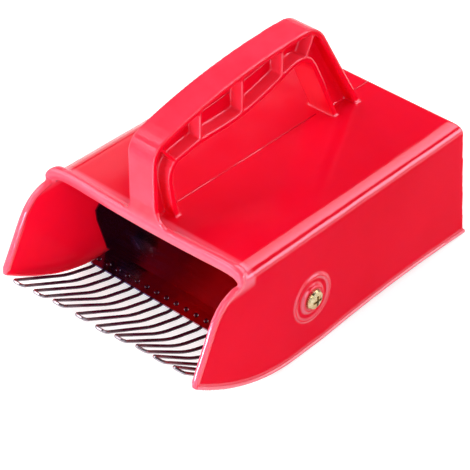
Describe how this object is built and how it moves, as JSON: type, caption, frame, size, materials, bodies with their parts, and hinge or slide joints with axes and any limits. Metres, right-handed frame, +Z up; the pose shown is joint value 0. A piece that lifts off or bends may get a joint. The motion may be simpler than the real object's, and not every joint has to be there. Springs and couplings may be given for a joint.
{
  "type": "berry picking rake",
  "caption": "Hand-held berry picker: an open-fronted box with a stirrup handle on top and a comb of sprung wire loops along its lower front edge.",
  "frame": {"origin": "centre of the bounding box's base, on the surface that the rake stands on", "axes": "+Z up, -Y towards the mouth and the tines, +Y towards the rear wall, X across the width"},
  "size_m": [0.1348, 0.2068, 0.1306],
  "materials": {
    "red_plastic": "glossy, slightly translucent",
    "tray_steel": "dark, polished sheet",
    "tine_steel": "polished wire",
    "yellow_zinc": "bright yellow zinc plating"
  },
  "bodies": {
    "root": {"housing": "red_plastic", "comb_tray": "tray_steel", "tine_1": "tine_steel", "tine_2": "tine_steel", "tine_3": "tine_steel", "tine_4": "tine_steel", "tine_5": "tine_steel", "tine_6": "tine_steel", "tine_7": "tine_steel", "tine_8": "tine_steel", "tine_9": "tine_steel", "screw_right": "yellow_zinc", "screw_left": "yellow_zinc", "washer_right": "yellow_zinc", "washer_left": "yellow_zinc", "nut_right": "yellow_zinc", "nut_left": "yellow_zinc"}
  },
  "joints": []
}
